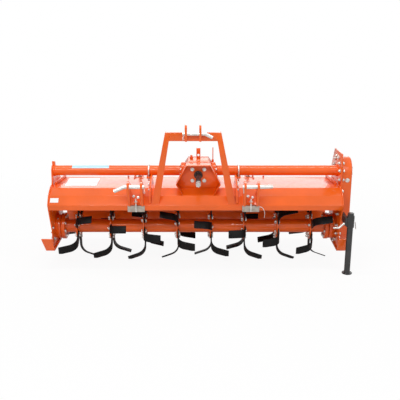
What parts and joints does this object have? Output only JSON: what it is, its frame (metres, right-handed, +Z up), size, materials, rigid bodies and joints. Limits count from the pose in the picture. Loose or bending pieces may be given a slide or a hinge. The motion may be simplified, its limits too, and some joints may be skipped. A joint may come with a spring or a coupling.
{
  "type": "rotary tiller",
  "caption": "Wide rotary tiller for a tractor's three-point hitch: bladed rotor under a folded hood, side gear case, guarded input shaft, hinged rear board and parking stand.",
  "frame": {"origin": "on the floor under the middle of the machine's bounding box", "axes": "+X along the rotor towards the side gear case, -Y towards the tractor, +Z up"},
  "size_m": [2.278, 0.803, 1.102],
  "materials": {
    "orange_paint": "gloss",
    "black_paint": "satin",
    "black_blade": "satin",
    "bare_plate": "satin",
    "zinc": "satin",
    "spring_steel": "satin",
    "bright_shaft": "satin"
  },
  "bodies": {
    "frame": {"beam_left": "orange_paint", "beam_right": "orange_paint", "side_plate_left": "orange_paint", "side_plate_right": "orange_paint", "side_gear_case": "orange_paint", "deck": "orange_paint", "deck_front_rail": "orange_paint", "deck_end_strips": "orange_paint", "gearbox": "orange_paint", "gearbox_front_plate": "orange_paint", "input_seal_cap": "black_paint", "pto_cowl": "orange_paint", "gearbox_fittings": "orange_paint", "mast_leg_left": "orange_paint", "mast_leg_right": "orange_paint", "mast_crossbar": "orange_paint", "top_link_ears": "orange_paint", "headstock_left": "orange_paint", "headstock_right": "orange_paint", "beam_clamps": "zinc", "lower_link_bracket_left": "orange_paint", "lower_link_bracket_right": "orange_paint", "deck_clamp_plates": "bare_plate", "hitch_pins": "zinc", "bearing_hub_left": "orange_paint", "bearing_hub_right": "orange_paint", "skid_left": "orange_paint", "skid_right": "orange_paint", "board_hinge": "orange_paint", "trunnion_brackets": "orange_paint", "stand_sleeve": "black_paint", "stand_lock_pin": "zinc"},
    "rotor": {"rotor_tube": "orange_paint", "blades_1": "black_blade", "blades_2": "black_blade", "blades_3": "black_blade", "blades_4": "black_blade", "blades_5": "black_blade", "blades_6": "black_blade", "blades_7": "black_blade", "blades_8": "black_blade"},
    "input_shaft": {"pto_shaft": "bright_shaft"},
    "board": {"rear_board": "orange_paint"},
    "rod_left": {"adjuster_rod_left": "zinc", "rod_spring_left": "spring_steel"},
    "rod_right": {"adjuster_rod_right": "zinc", "rod_spring_right": "spring_steel"},
    "stand": {"stand_leg": "black_paint"}
  },
  "joints": [
    {"name": "rotor_spin", "type": "hinge", "parent": "frame", "child": "rotor", "pos_m": [-0.011, -0.0095, 0.256], "axis": [1, 0, 0], "continuous": true},
    {"name": "input_spin", "type": "hinge", "parent": "frame", "child": "input_shaft", "pos_m": [0.009, -0.4015, 0.692], "axis": [0, 1, 0], "continuous": true},
    {"name": "board_hinge_turn", "type": "hinge", "parent": "frame", "child": "board", "pos_m": [-0.011, 0.2555, 0.557], "axis": [1, 0, 0], "range_deg": [0, 35]},
    {"name": "rod_left_pivot", "type": "hinge", "parent": "board", "child": "rod_left", "pos_m": [-0.456, 0.3855, 0.41], "axis": [1, 0, 0], "range_deg": [-6, 0]},
    {"name": "rod_right_pivot", "type": "hinge", "parent": "board", "child": "rod_right", "pos_m": [0.404, 0.3855, 0.41], "axis": [1, 0, 0], "range_deg": [-6, 0]},
    {"name": "stand_slide", "type": "slide", "parent": "frame", "child": "stand", "axis": [0, 0, 1], "range_m": [0, 0.25]}
  ],
  "couplings": [
    {"joint": "input_spin", "follows": "rotor_spin", "ratio": 2.4},
    {"joint": "rod_left_pivot", "follows": "board_hinge_turn", "ratio": -0.15087},
    {"joint": "rod_right_pivot", "follows": "board_hinge_turn", "ratio": -0.15087}
  ]
}
